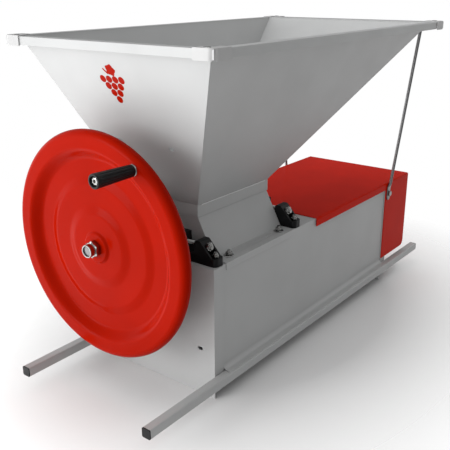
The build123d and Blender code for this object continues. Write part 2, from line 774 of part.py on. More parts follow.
def make_flywheel():
    """Pressed steel wheel: two shallow steps, a valley and a rolled bead at the edge."""
    crest = wheel_front_x
    bead_u = wheel_r - bead_r
    face = crest + boss_setback
    front = [(face, shaft_r + seat)]
    for start, end in wheel_steps:
        front += [(face, start), (face + step_depth, end)]
        face += step_depth
    front += [(face, wheel_r - rim_ramp[0]), (crest, wheel_r - rim_ramp[1]), (crest, bead_u)]
    back = [(x + wheel_sheet, r) for x, r in reversed(front)]
    with BuildPart() as wheel:
        with BuildSketch(Plane(origin=(0, mid_y + roller_u, roller_z), x_dir=(1, 0, 0), z_dir=(0, -1, 0))) as half:
            with BuildLine():
                Polyline(*front)
                CenterArc((crest + bead_r, bead_u), bead_r, 0, 180)
                Line((crest + 2 * bead_r, bead_u), (crest + 2 * bead_r - wheel_sheet, bead_u))
                CenterArc((crest + bead_r, bead_u), bead_r - wheel_sheet, 0, 180)
                Polyline(*back)
                Line(back[-1], front[0])
            make_face()
            corners = [v for v in half.vertices() if shaft_r + 1 < v.Y < bead_u - 1]
            fillet(corners, step_round)
        revolve(axis=Axis((0, mid_y + roller_u, roller_z), (1, 0, 0)))
        rod(across(crest - wheel_sheet, handle_u, handle_z), m8_hole_r, 3 * wheel_sheet, Mode.SUBTRACT)
    save(wheel, "flywheel")


def make_hub():
    """Hub in front of the wheel, its set screw, and the spacer behind the wheel."""
    with BuildPart() as hub:
        with BuildSketch(across(hub_front_x + hub_sleeve, roller_u, roller_z)):
            RegularPolygon(hub_af / 2, 6, major_radius=False, rotation=30)
        extrude(amount=hub_length - hub_sleeve)
        rod(across(hub_front_x, roller_u, roller_z), hub_sleeve_r, hub_sleeve)
        rod(across(hub_front_x - 1, roller_u, roller_z), shaft_r + seat, hub_length + 2, Mode.SUBTRACT)
        rod(outward(-1, -roller_u, hub_back_x - set_screw_back, roller_z), set_screw_r + seat, hub_af, Mode.SUBTRACT)
    save(hub, "flywheel_hub")
    with BuildPart() as set_screw:
        screw = outward(-1, shaft_r + slide_gap - roller_u, hub_back_x - set_screw_back, roller_z)
        rod(screw, set_screw_r, hub_af / 2 - shaft_r - 2 * slide_gap)
    save(set_screw, "hub_set_screw")
    with BuildPart() as spacer:
        start = hub_back_x + wheel_sheet
        with BuildSketch(across(start, roller_u, roller_z)):
            Circle(spacer_r)
            Circle(shaft_r + seat, mode=Mode.SUBTRACT)
        extrude(amount=drive_gear_x - start)
    save(spacer, "drive_spacer")


def make_handle():
    """Crank handle: bolt, washer and a grip that turns freely."""
    axis = across(grip_tip_x, handle_u, handle_z)
    with BuildPart() as grip:
        with Locations(axis.location):
            Cone(grip_tip_r, grip_root_r, grip_length, align=(Align.CENTER, Align.CENTER, Align.MIN))
        fillet(grip.faces().sort_by(Axis.X)[0].edges(), grip_edge)
        rod(across(grip_tip_x - 1, handle_u, handle_z), grip_recess_r, grip_recess + 1, Mode.SUBTRACT)
        rod(axis, m8_r + seat, grip_length + 1, Mode.SUBTRACT)
    save(grip, "handle_grip")
    head_x = grip_tip_x + grip_recess - slide_gap
    with BuildPart() as bolt:
        with BuildSketch(across(head_x - m8_height, handle_u, handle_z)):
            RegularPolygon(m8_af / 2, 6, major_radius=False)
        extrude(amount=m8_height)
        rod(across(head_x, handle_u, handle_z), m8_r, wheel_front_x + wheel_sheet + m8_height + thread_proud - head_x)
    save(bolt, "handle_bolt")
    with BuildPart() as washer:
        with BuildSketch(across(wheel_front_x - handle_washer_height, handle_u, handle_z)):
            Circle(grip_root_r)
            Circle(m8_hole_r, mode=Mode.SUBTRACT)
        extrude(amount=handle_washer_height)
    save(washer, "handle_washer")
    with BuildPart() as nut:
        with BuildSketch(across(wheel_front_x + wheel_sheet, handle_u, handle_z)):
            RegularPolygon(m8_af / 2, 6, major_radius=False)
            Circle(m8_r + seat, mode=Mode.SUBTRACT)
        extrude(amount=m8_height)
    save(nut, "handle_nut")


def arm_frames():
    """Planes across the beater shaft, one for each arm, each turned on from the last."""
    start = body_front_x + arm_start
    return [Plane(origin=(start + arm_step * n, mid_y, beater_z), x_dir=(1, 0, 0),
                  z_dir=(0, math.sin(math.radians(arm_turn * n)), math.cos(math.radians(arm_turn * n))))
            for n in range(arm_count)]


def make_beater():
    """Beater arms welded to their shaft, with a slanted paddle on each end."""
    with BuildPart() as arms:
        for frame in arm_frames():
            with Locations(frame.location):
                Cylinder(arm_r, 2 * paddle_root_r)
        rod(across(body_front_x, 0, beater_z), beater_shaft_r + seat / 2, body_length, Mode.SUBTRACT)
    save(arms, "beater_arms")
    with BuildPart() as paddles:
        middle = (paddle_r + paddle_root_r) / 2
        for frame in arm_frames():
            with Locations(frame.location):
                with Locations(Location((0, 0, middle), (0, 0, paddle_pitch_angle)),
                               Location((0, 0, -middle), (0, 0, -paddle_pitch_angle))):
                    Box(paddle_length, paddle_thickness, paddle_r - paddle_root_r)
    save(paddles, "beater_paddles")


def make_beater_bearings():
    """Flanged bearings of the beater shaft, the rear one on a bracket, and their bolts."""
    rear_x = body_rear_x + bracket_thickness
    for name, x, depth in (("beater_front_bearing", body_front_x, -bearing_depth),
                           ("beater_rear_bearing", rear_x, bearing_depth)):
        with BuildPart() as bearing:
            with BuildSketch(across(x, 0, beater_z)):
                RectangleRounded(bearing_side, bearing_side, bearing_corner)
                Circle(beater_shaft_r + seat, mode=Mode.SUBTRACT)
                with PolarLocations(bearing_bolt_r, bearing_bolts, start_angle=45):
                    Circle(m8_hole_r, mode=Mode.SUBTRACT)
            extrude(amount=depth / 2)
            with BuildSketch(across(x, 0, beater_z)):
                Circle(bearing_r)
                Circle(beater_shaft_r + seat, mode=Mode.SUBTRACT)
            extrude(amount=depth)
        save(bearing, name)
    with BuildPart() as bracket:
        slab((body_rear_x, rear_x), (-grid_r - bracket_lap, grid_r + bracket_lap), (beater_z - bracket_half, beater_z + bracket_half))
        hole_r = beater_shaft_r + shaft_play
        rod(across(body_rear_x - 1, 0, beater_z), hole_r, 3 * bracket_thickness, Mode.SUBTRACT)
        with Locations(across(body_rear_x, 0, beater_z).location):
            with PolarLocations(bearing_bolt_r, bearing_bolts, start_angle=45):
                Cylinder(m8_hole_r, 4 * bracket_thickness, mode=Mode.SUBTRACT)
    save(bracket, "rear_bearing_bracket")
    with BuildPart() as bolts:
        for x, head in ((body_front_x - bearing_depth / 2, -1), (rear_x + bearing_depth / 2, 1)):
            with BuildSketch(across(x, 0, beater_z)):
                with PolarLocations(bearing_bolt_r, bearing_bolts, start_angle=45):
                    RegularPolygon(m8_af / 2, 6, major_radius=False)
            extrude(amount=head * m8_height)
            with BuildSketch(across(x, 0, beater_z)):
                with PolarLocations(bearing_bolt_r, bearing_bolts, start_angle=45):
                    Circle(m8_r)
            extrude(amount=-head * bearing_bolt_reach)
    save(bolts, "bearing_bolts")


def make_bolt_row(name, places, top_z):
    """Bolts that point up through the deck, with their heads under it."""
    with BuildPart() as bolts:
        for x, u in places:
            with BuildSketch(level(deck_z - sheet - m8_height, x, u)):
                RegularPolygon(m8_af / 2, 6, major_radius=False)
            extrude(amount=m8_height)
            rod(level(deck_z - sheet, x, u), m8_r, top_z - deck_z + sheet)
    save(bolts, name)


def make_nuts(name, places):
    """Nuts on those bolts, at the (x, u, z) given."""
    with BuildPart() as nuts:
        for x, u, z in places:
            with BuildSketch(level(z, x, u)):
                RegularPolygon(m8_af / 2, 6, major_radius=False)
                Circle(m8_r + seat, mode=Mode.SUBTRACT)
            extrude(amount=m8_nut_height)
    save(nuts, name)


def make_washers(name, places, base_z):
    """Broad washers under the nuts."""
    with BuildPart() as washers:
        for x, u in places:
            with BuildSketch(level(base_z, x, u)):
                Circle(washer_r)
                Circle(m8_hole_r, mode=Mode.SUBTRACT)
            extrude(amount=washer_thickness)
    save(washers, name)


def make_fasteners():
    """Bolts, washers and nuts of the housing and of the bearing blocks."""
    base_z = deck_z + sheet
    top_z = base_z + washer_thickness
    make_bolt_row("housing_bolts", housing_bolt_places(), top_z + m8_nut_height + thread_proud)
    make_washers("housing_washers", housing_bolt_places(), base_z)
    nose_z = deck_z + block_nose
    noses = [(x, side * block_bolt_u) for x in block_places() for side in sides.values()]
    roots = [(x, side * block_screw_u) for x in block_places() for side in sides.values()]
    make_bolt_row("block_bolts", noses, nose_z + m8_nut_height + thread_proud)
    make_nuts("deck_nuts", [(x, u, top_z) for x, u in housing_bolt_places()] + [(x, u, nose_z) for x, u in noses])
    make_bolt_row("block_screws", roots, deck_z + block_screw_depth)


def main():
    os.makedirs("parts", exist_ok=True)
    make_end_panel("front_end_panel", body_front_x, 1, bearing_r + 1)
    make_end_panel("rear_end_panel", body_rear_x - sheet, -1, grid_r - 2)
    make_deck()
    make_end_plugs()
    make_grid()
    make_housing_plate("crusher_front_plate", housing_front_x)
    make_housing_plate("crusher_rear_plate", housing_rear_x - sheet)
    make_collar()
    make_hopper_end("hopper_front_panel", -1)
    make_hopper_end("hopper_rear_panel", 1)
    make_corner_caps()
    make_cap_screws()
    make_cover()
    make_strut_bolts()
    for name, side in sides.items():
        make_side_panel(f"{name}_side_panel", side)
        make_skid_tube(f"{name}_skid_tube", side)
        make_skirt(f"{name}_skirt", side)
        make_hopper_side(f"hopper_{name}_panel", side)
        make_strut(f"{name}_strut", side)
        make_block(f"{name}_front_block", side, front_block_x, side < 0)
        make_block(f"{name}_rear_block", side, rear_block_x, side < 0)
    make_bush("front_sliding_bush", front_block_x)
    make_bush("rear_sliding_bush", rear_block_x)
    make_adjusters()
    make_roller("left_roller", roller_u, 0)
    make_roller("right_roller", -roller_u, 180 / lobe_count)
    make_gears()
    make_shaft("drive_shaft", hub_front_x + hub_recess, shaft_end_x, roller_u, roller_z, shaft_r)
    make_shaft("right_roller_shaft", roller_gear_x - shaft_proud, shaft_end_x, -roller_u, roller_z, shaft_r)
    beater_end_x = body_rear_x + bracket_thickness + bearing_depth + shaft_tail
    make_shaft("beater_shaft", drive_gear_x - shaft_proud, beater_end_x, 0, beater_z, beater_shaft_r)
    make_flywheel()
    make_hub()
    make_handle()
    make_beater()
    make_beater_bearings()
    make_fasteners()


main()
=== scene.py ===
"""Finishes for a hand-cranked grape crusher destemmer, laid out as an add-on.

The frame holds every part at its real size. Each operator below finishes one piece or one
group of like pieces, and main() calls them in order. Lengths are in metres.
"""
import json
import math

import bpy
import numpy as np
from bpy.props import FloatProperty, FloatVectorProperty, IntProperty, PointerProperty
from bpy.types import Operator, Panel, PropertyGroup
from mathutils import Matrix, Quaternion, Vector


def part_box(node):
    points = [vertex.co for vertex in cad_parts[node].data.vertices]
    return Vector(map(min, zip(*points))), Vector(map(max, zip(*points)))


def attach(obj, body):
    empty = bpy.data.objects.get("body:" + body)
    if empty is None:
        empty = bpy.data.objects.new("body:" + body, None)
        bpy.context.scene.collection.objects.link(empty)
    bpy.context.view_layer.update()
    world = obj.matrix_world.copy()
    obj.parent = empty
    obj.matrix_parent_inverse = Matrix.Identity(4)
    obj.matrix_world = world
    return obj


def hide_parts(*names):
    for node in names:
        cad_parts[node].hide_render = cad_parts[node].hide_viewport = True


bl_info = {
    "name": "Grape crusher finishes",
    "version": (1, 0, 0),
    "blender": (4, 5, 0),
    "location": "View3D > Sidebar > Crusher",
    "description": "Paint, metal and fine shapes for a grape crusher destemmer",
    "category": "Object",
}

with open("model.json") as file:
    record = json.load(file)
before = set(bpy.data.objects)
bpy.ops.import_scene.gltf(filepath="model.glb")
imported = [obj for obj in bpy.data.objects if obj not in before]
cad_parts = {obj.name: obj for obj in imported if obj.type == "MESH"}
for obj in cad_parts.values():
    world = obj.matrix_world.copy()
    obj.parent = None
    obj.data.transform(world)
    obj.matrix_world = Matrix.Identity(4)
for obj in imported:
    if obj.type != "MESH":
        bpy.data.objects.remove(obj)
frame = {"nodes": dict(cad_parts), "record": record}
nodes = frame["nodes"]
body_of_node = {n: b for b, group in frame["record"]["behaviour"]["bodies"].items() for n in group}
slot_of_node = {s["node"]: s["material_slot"] for s in frame["record"]["subparts"]}
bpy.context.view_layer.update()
TURN = 2 * math.pi
MM = 0.001
M8_FLATS = 0.013          # across flats of the small nuts and heads
M8_HEAD = 0.0053          # height of a head or nut
M8_RADIUS = 0.004         # also the stays' rods
M8_BORE = 0.0042          # bore of a nut
WASHER_BORE = 0.0043
TAIL = 0.0078             # threaded end that stands past a nut
SMALL_BORE = 0.0035       # bore hidden by a shank
SOLID_GAP = 0.018         # a wider gap than this parts two solids of one node


# ---------------------------------------------------------------- sizes and colours

class PaintSettings(PropertyGroup):
    """Colours of the painted and moulded surfaces."""
    grey: FloatVectorProperty(name="Grey paint", description="Powder coat of the body and hopper",
                              default=(0.43, 0.435, 0.435), size=3, subtype="COLOR")
    red: FloatVectorProperty(name="Red enamel", description="Enamel of the wheel and the stem cover",
                             default=(0.33, 0.006, 0.0002), size=3, subtype="COLOR")
    # Painted light: the stem cover's red is this many times lighter than the wheel's, so that its sides look
    # lit; the real enamel is one colour
    cover_painted_light: FloatProperty(name="Cover lift", default=1.7,
                              description="How much lighter the stem cover's enamel is than the wheel's")
    black: FloatVectorProperty(name="Black plastic", description="Bearing blocks, plugs and grip",
                               default=(0.0045, 0.0045, 0.005), size=3, subtype="COLOR")
    orange_peel: FloatProperty(name="Orange peel", description="Height of the paint's fine ripple",
                               default=0.00004, precision=6, unit="LENGTH")


class WheelSettings(PropertyGroup):
    """Shape of the pressed flywheel."""
    steps: IntProperty(name="Segments", description="Segments round the wheel", default=216, min=48)
    sheet: FloatProperty(name="Sheet", description="Thickness of the pressed sheet",
                         default=0.003, precision=4, unit="LENGTH")
    step_depth: FloatProperty(name="Step depth", description="Depth of each pressed step",
                              default=0.005, precision=4, unit="LENGTH")


class GripSettings(PropertyGroup):
    """Shape of the crank's grip."""
    flutes: IntProperty(name="Flutes", description="Grooves along the grip", default=12, min=4)
    flute_depth: FloatProperty(name="Flute depth", description="Depth of a groove",
                               default=0.0011, precision=4, unit="LENGTH")


class EmblemSettings(PropertyGroup):
    """Size and place of the printed grapes."""
    grape: FloatProperty(name="Grape", description="Radius of one grape",
                         default=0.0075, precision=4, unit="LENGTH")
    drop: FloatProperty(name="Drop", description="Distance below the hopper's rim",
                        default=0.075, precision=3, unit="LENGTH")
    shift: FloatProperty(name="Shift", description="Distance from the middle of the hopper",
                         default=-0.02, precision=3, unit="LENGTH")


class FastenerSettings(PropertyGroup):
    """Shapes shared by the nuts and bolts."""
    pitch: FloatProperty(name="Thread pitch", description="Pitch of the small threads",
                         default=0.00125, precision=5, unit="LENGTH")
    chamfer: FloatProperty(name="Chamfer", description="Chamfer on a nut's corners",
                           default=0.0009, precision=4, unit="LENGTH")


class StageSettings(PropertyGroup):
    """Camera, lamps and floor."""
    eye: FloatVectorProperty(name="Camera place", description="Where the camera stands",
                             default=(-1.2989, -0.91495, 0.7955), size=3, subtype="TRANSLATION")
    heading: FloatProperty(name="Heading", description="Camera's heading from +X towards +Y",
                           default=math.radians(37.8), subtype="ANGLE")
    dip: FloatProperty(name="Dip", description="How far the camera looks down",
                       default=math.radians(19.48), subtype="ANGLE")
    roll: FloatProperty(name="Roll", description="Camera's turn about its own axis",
                        default=math.radians(-0.26), subtype="ANGLE")
    lens: FloatProperty(name="Lens", description="Focal length in millimetres", default=54.98)
    key_power: FloatProperty(name="Key lamp", description="Power of the lamp in front of the wheel",
                             default=45.0, unit="POWER")
    top_power: FloatProperty(name="Top lamp", description="Power of the lamp overhead",
                             default=7.0, unit="POWER")


# ---------------------------------------------------------------- materials

class Shader:
    """A material and short names for the nodes that build it."""

    def __init__(self, name, color, roughness, metallic=0.0, **sockets):
        self.material = bpy.data.materials.new(name)
        self.material.use_nodes = True
        self.material.diffuse_color = (*color, 1.0)
        self.tree = self.material.node_tree
        self.surface = self.tree.nodes["Principled BSDF"]
        self.surface.inputs["Base Color"].default_value = (*color, 1.0)
        self.surface.inputs["Roughness"].default_value = roughness
        self.surface.inputs["Metallic"].default_value = metallic
        for socket, value in sockets.items():
            self.surface.inputs[socket.replace("_", " ")].default_value = value
        self.place = self.tree.nodes.new("ShaderNodeTexCoord").outputs["Object"]
        self.last_bump = None

    def link(self, a, b):
        self.tree.links.new(a, b)

    def stretched(self, scale):
        """Object coordinates scaled by different amounts along X, Y and Z."""
        node = self.tree.nodes.new("ShaderNodeMapping")
        node.inputs["Scale"].default_value = scale
        self.link(self.place, node.inputs["Vector"])
        return node.outputs["Vector"]

    def noise(self, scale, detail=3.0, along=None, rough=0.5):
        """Noise value over the surface."""
        node = self.tree.nodes.new("ShaderNodeTexNoise")
        node.inputs["Scale"].default_value = scale
        node.inputs["Detail"].default_value = detail
        node.inputs["Roughness"].default_value = rough
        self.link(self.place if along is None else along, node.inputs["Vector"])
        return node.outputs["Fac"]

    def cells(self, scale):
        """Distance to the nearest of scattered points."""
        node = self.tree.nodes.new("ShaderNodeTexVoronoi")
        node.inputs["Scale"].default_value = scale
        self.link(self.place, node.inputs["Vector"])
        return node.outputs["Distance"]

    def ranged(self, value, low, high, start=0.3, end=0.7):
        """The value between start and end, mapped to low to high."""
        node = self.tree.nodes.new("ShaderNodeMapRange")
        for socket, number in (("From Min", start), ("From Max", end), ("To Min", low), ("To Max", high)):
            node.inputs[socket].default_value = number
        self.link(value, node.inputs["Value"])
        return node.outputs["Result"]

    def tint(self, factor, first, second):
        """Base colour between two colours."""
        node = self.tree.nodes.new("ShaderNodeMix")
        node.data_type = "RGBA"
        node.inputs[6].default_value = (*first, 1.0)
        node.inputs[7].default_value = (*second, 1.0)
        self.link(factor, node.inputs[0])
        self.link(node.outputs[2], self.surface.inputs["Base Color"])

    def roughen(self, value):
        self.link(value, self.surface.inputs["Roughness"])

    def bump(self, height, distance, strength=1.0):
        """Adds a relief of that height to the surface."""
        node = self.tree.nodes.new("ShaderNodeBump")
        node.inputs["Distance"].default_value = distance
        node.inputs["Strength"].default_value = strength
        self.link(height, node.inputs["Height"])
        if self.last_bump is not None:
            self.link(self.last_bump, node.inputs["Normal"])
        self.last_bump = node.outputs["Normal"]
        self.link(self.last_bump, self.surface.inputs["Normal"])


def shade(color, factor):
    """A colour made lighter or darker."""
    return tuple(min(1.0, c * factor) for c in color)


def powder_coat(paint):
    """Satin grey powder coat: fine orange peel, a faint mottle and rubbed patches."""
    coat = Shader("grey_powder_coat", paint.grey, 0.42, Coat_Weight=0.05, Coat_Roughness=0.3)
    coat.tint(coat.ranged(coat.noise(7.0), 0, 1), shade(paint.grey, 0.965), shade(paint.grey, 1.03))
    coat.roughen(coat.ranged(coat.noise(18.0, 5.0), 0.36, 0.48))
    coat.bump(coat.noise(620.0, 2.0), paint.orange_peel)
    coat.bump(coat.noise(3.0, 1.0), 0.0012, 0.35)
    return coat.material


def cap_plastic(name="cap_plastic", lift=1.0):
    """Smooth pale grey of the rim's corner caps; a lift above 1 gives a lighter copy, used as a painted
    highlight on the bead above the collar.
    """
    pale = shade((0.44, 0.44, 0.44), lift)
    plastic = Shader(name, pale, 0.35, Specular_IOR_Level=0.4)
    plastic.tint(plastic.ranged(plastic.noise(30.0), 0, 1), shade(pale, 0.96), shade(pale, 1.06))
    plastic.roughen(plastic.ranged(plastic.noise(90.0), 0.3, 0.42))
    plastic.bump(plastic.noise(900.0), 0.00003)
    return plastic.material


def red_enamel(paint, lift=1.0):
    """Glossy red enamel over pressed sheet, with faint press marks. A lift above 1 gives a lighter copy of the
    same enamel, painted light for the stem cover.
    """
    red = shade(paint.red, lift)
    enamel = Shader("red_enamel", red, 0.18, Specular_IOR_Level=0.02)
    enamel.tint(enamel.ranged(enamel.noise(9.0), 0, 1), shade(red, 0.93), shade(red, 1.05))
    enamel.roughen(enamel.ranged(enamel.noise(26.0, 4.0), 0.14, 0.22))
    enamel.bump(enamel.noise(420.0, 2.0), paint.orange_peel / 2)
    enamel.bump(enamel.noise(9.0, 1.0), 0.0006, 0.3)
    return enamel.material


def black_nylon(paint):
    """Moulded black nylon with a spark-eroded grain and dull patches."""
    nylon = Shader("black_nylon", paint.black, 0.42, Specular_IOR_Level=0.18)
    nylon.tint(nylon.ranged(nylon.noise(35.0), 0, 1), paint.black, shade(paint.black, 1.6))
    nylon.roughen(nylon.ranged(nylon.noise(60.0), 0.34, 0.52))
    nylon.bump(nylon.noise(1500.0, 3.0), 0.00005)
    return nylon.material


def zinc_plate(paint):
    """Zinc plate: grey metal with cloudy patches and a slight yellow cast."""
    zinc = Shader("zinc_plate", (0.6, 0.6, 0.59), 0.26, 1.0)
    zinc.tint(zinc.ranged(zinc.noise(70.0, 3.0), 0, 1), (0.38, 0.38, 0.38), (0.28, 0.277, 0.265))
    zinc.roughen(zinc.ranged(zinc.noise(120.0, 3.0), 0.12, 0.22))
    zinc.bump(zinc.cells(1400.0), 0.00001)
    return zinc.material


def ground_steel(paint):
    """Dark ground round bar: fine rings round the shaft, which lies along X."""
    steel = Shader("ground_steel", (0.56, 0.57, 0.58), 0.28, 1.0, Anisotropic=0.4)
    rings = steel.noise(1.0, 2.0, steel.stretched((2600.0, 30.0, 30.0)))
    steel.tint(steel.ranged(steel.noise(40.0), 0, 1), (0.14, 0.142, 0.145), (0.2, 0.2, 0.2))
    steel.roughen(steel.ranged(rings, 0.2, 0.38))
    steel.bump(rings, 0.00002)
    return steel.material


def oiled_iron(paint):
    """Dark cast iron with a film of oil."""
    iron = Shader("oiled_iron", (0.06, 0.06, 0.063), 0.4, 0.7, Coat_Weight=0.25, Coat_Roughness=0.2)
    iron.tint(iron.ranged(iron.noise(55.0, 5.0), 0, 1), (0.045, 0.045, 0.05), (0.1, 0.095, 0.09))
    iron.roughen(iron.ranged(iron.noise(90.0), 0.3, 0.55))
    iron.bump(iron.noise(500.0, 4.0), 0.00012)
    return iron.material


def drawn_bar():
    """Dark drawn steel bar: fine lines along its length, which is near Z."""
    bar = Shader("drawn_bar", (0.2, 0.2, 0.205), 0.3, 1.0)
    lines = bar.noise(1.0, 2.0, bar.stretched((1800.0, 1800.0, 25.0)))
    bar.tint(bar.ranged(lines, 0, 1), (0.15, 0.15, 0.155), (0.26, 0.26, 0.26))
    bar.roughen(bar.ranged(lines, 0.24, 0.38))
    bar.bump(lines, 0.00001)
    return bar.material


def cast_alloy(paint):
    """Tumbled aluminium casting: soft grain with darker pores."""
    alloy = Shader("cast_alloy", (0.62, 0.63, 0.64), 0.45, 0.9)
    alloy.tint(alloy.ranged(alloy.cells(260.0), 0, 1, 0.05, 0.4), (0.42, 0.43, 0.44), (0.68, 0.69, 0.7))
    alloy.roughen(alloy.ranged(alloy.noise(120.0), 0.36, 0.56))
    alloy.bump(alloy.noise(380.0, 4.0), 0.00018)
    return alloy.material


def stainless(paint):
    """Stainless sheet with its rolling grain along X."""
    sheet = Shader("stainless_sheet", (0.6, 0.61, 0.62), 0.3, 1.0, Anisotropic=0.5)
    grain = sheet.noise(1.0, 3.0, sheet.stretched((12.0, 1400.0, 1400.0)))
    sheet.tint(sheet.ranged(sheet.noise(12.0), 0, 1), (0.56, 0.57, 0.58), (0.66, 0.66, 0.66))
    sheet.roughen(sheet.ranged(grain, 0.24, 0.42))
    sheet.bump(grain, 0.00002)
    return sheet.material


def oil_bronze(paint):
    """Sintered bronze: matt, with fine open pores."""
    bronze = Shader("sintered_bronze", (0.42, 0.27, 0.13), 0.45, 1.0)
    bronze.tint(bronze.ranged(bronze.cells(1300.0), 0, 1, 0.05, 0.5), (0.25, 0.16, 0.08), (0.48, 0.31, 0.16))
    bronze.roughen(bronze.ranged(bronze.noise(150.0), 0.38, 0.55))
    bronze.bump(bronze.cells(1300.0), 0.00005)
    return bronze.material


FINISHES = {
    "grey_paint": powder_coat,
    "red_paint": red_enamel,
    "black_plastic": black_nylon,
    "zinc_steel": zinc_plate,
    "shaft_steel": ground_steel,
    "gear_iron": oiled_iron,
    "roller_alloy": cast_alloy,
    "stainless": stainless,
    "bronze": oil_bronze,
}
made = {}


def finish_for(slot):
    """The material of one of the record's slots, made once."""
    if slot not in made:
        made[slot] = FINISHES[slot](bpy.context.scene.crusher_paint)
    return made[slot]


# ---------------------------------------------------------------- surfaces

def skin(points, wrap_rows=True, wrap_columns=True):
    """Vertices and quads over a (rows, columns, 3) array; a wrapped direction closes on itself."""
    rows, columns = points.shape[:2]
    index = np.arange(rows * columns).reshape(rows, columns)
    if wrap_rows:
        index = np.vstack([index, index[:1]])
    if wrap_columns:
        index = np.hstack([index, index[:, :1]])
    quads = np.stack([index[:-1, :-1], index[1:, :-1], index[1:, 1:], index[:-1, 1:]], axis=-1).reshape(-1, 4)
    points = points.reshape(-1, 3)
    a, b, c = points[quads[:, 0]], points[quads[:, 1]], points[quads[:, 2]]
    d = points[quads[:, 3]]
    volume = np.einsum("ij,ij->i", a, np.cross(b, c) + np.cross(c, d)).sum()
    return points, quads if volume > 0 else quads[:, ::-1]


def turned(profile, centre, axis, columns=64, radius_of=None):
    """Skin of a profile carried round an axis.

    profile is an (n, 2) array of (distance along the axis, radius). A point is
    centre + axis * distance + radius * (across * cos a + up * sin a), a from 0 to a full turn.
    radius_of(row, radius, a) may change the radius round the turn.
    """
    axis = np.array(axis, float)
    across = np.array((0.0, 1.0, 0.0)) if abs(axis[1]) < 0.5 else np.array((1.0, 0.0, 0.0))
    up = np.cross(axis, across)
    a = np.linspace(0, TURN, columns, endpoint=False)[None, :]
    along, radius = profile[:, :1], np.repeat(profile[:, 1:], columns, axis=1)
    if radius_of is not None:
        radius = radius_of(np.arange(len(profile))[:, None], radius, a)
    ring = radius[..., None] * (np.cos(a)[..., None] * across + np.sin(a)[..., None] * up)
    return skin(np.array(centre, float) + along[..., None] * axis + ring)


def piece(name, skins, like, smooth_angle=35.0, replace=True):
    """One object from several skins. It rides, and takes its finish, like the CAD node it stands for."""
    like = [like] if isinstance(like, str) else list(like)
    start, vertices, quads = 0, [], []
    for points, faces in skins:
        vertices.append(points)
        quads.append(faces + start)
        start += len(points)
    mesh = bpy.data.meshes.new(name)
    mesh.from_pydata(np.vstack(vertices).tolist(), [], np.vstack(quads).tolist())
    mesh.validate()
    obj = bpy.data.objects.new(name, mesh)
    bpy.context.scene.collection.objects.link(obj)
    slot = slot_of_node[like[0]]
    mesh.materials.append(finish_for(slot))
    mesh.shade_smooth()
    mesh.set_sharp_from_angle(angle=math.radians(smooth_angle))
    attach(obj, body_of_node[like[0]])
    if replace:
        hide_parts(*like)
    return obj


def dress(name, edge=0.0006, segments=2):
    """Gives a CAD node its finish and small rounded edges."""
    obj = nodes[name]
    obj.modifiers.clear()
    obj.data.materials.clear()
    obj.data.materials.append(finish_for(slot_of_node[name]))
    weld = obj.modifiers.new("join", "WELD")
    weld.merge_threshold = 0.00001
    bevel = obj.modifiers.new("edges", "BEVEL")
    bevel.width = edge
    bevel.segments = segments
    bevel.limit_method = "ANGLE"
    bevel.angle_limit = math.radians(32)
    level = obj.modifiers.new("flat faces", "WEIGHTED_NORMAL")
    level.weight = 60
    obj.data.shade_smooth()
    return obj


def middle(name):
    """Middle of a CAD node's box, and half its size."""
    low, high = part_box(name)
    return (low + high) / 2, (high - low) / 2


def islands(name, axes):
    """Boxes of the separate solids of a node, split where its points leave a gap along the axes."""
    points = np.array([v.co for v in nodes[name].data.vertices], float)
    groups = [points]
    for axis in axes:
        parts = []
        for group in groups:
            group = group[np.argsort(group[:, axis])]
            cuts = np.where(np.diff(group[:, axis]) > SOLID_GAP)[0] + 1
            parts += np.split(group, cuts)
        groups = parts
    return [(g.min(0), g.max(0)) for g in groups]


def smooth(t):
    """Smooth step from 0 to 1."""
    t = np.clip(t, 0, 1)
    return t * t * (3 - 2 * t)


def arc(centre, radius, start, end, count=12):
    """Points (along, radius) on an arc, angles in degrees from the along axis."""
    a = np.radians(np.linspace(start, end, count))
    return np.stack([centre[0] + radius * np.cos(a), centre[1] + radius * np.sin(a)], axis=1)


def six_sided(flat):
    """Radius of a hexagon round its turn; flat is half its width across flats."""
    def radius_at(a):
        return flat / np.cos(np.mod(a, TURN / 6) - TURN / 12)
    return radius_at


def nut(centre, axis, flats, height, bore):
    """Hexagon nut: its faces are cut back to a cone at both ends, and its bore is countersunk."""
    cut = bpy.context.scene.crusher_fasteners.chamfer
    flat = flats / 2
    corner = flat / math.cos(math.pi / 6)
    profile = np.array([(cut, bore), (0, bore + cut / 2), (0, flat - cut / 2), (cut, corner),
                        (height - cut, corner), (height, flat - cut / 2), (height, bore + cut / 2),
                        (height - cut, bore)])
    shape = six_sided(flat)

    def radius_of(row, radius, a):
        return np.where(radius > flat - cut, np.minimum(radius, shape(a)), radius)
    return turned(profile, centre, axis, 48, radius_of)


def threaded(centre, axis, radius, start, length, pitch=None):
    """Threaded end of a bolt: radius less a triangle wave of (distance / pitch - turn), with a domed tip."""
    pitch = pitch or bpy.context.scene.crusher_fasteners.pitch
    depth = 0.55 * pitch
    rows = int(length / pitch * 6) + 1
    along = np.linspace(start, start + length, rows)
    body = np.stack([along, np.full(rows, radius)], axis=1)
    tip = np.array([(start + length + pitch * 0.5, radius * 0.8), (start + length + pitch * 0.5, 0.0)])
    foot = np.array([(start, 0.0)])
    profile = np.vstack([foot, body, tip])
    fade = np.clip((start + length - profile[:, 0]) / pitch, 0, 1)

    def radius_of(row, r, a):
        wave = np.abs(np.mod(profile[:, :1] / pitch - a / TURN, 1.0) * 2 - 1)
        cut = depth * wave + 0.25 * radius * (1 - fade[:, None]) * (r > 0.9 * radius)
        return np.where(r >= radius * 0.99, r - cut, r)
    return turned(profile, centre, axis, 32, radius_of)


def stud(centre, axis, radius, start, length):
    """Plain round shank, closed at both ends."""
    profile = np.array([(start, 0.0), (start, radius), (start + length, radius), (start + length, 0.0)])
    return turned(profile, centre, axis, 32)


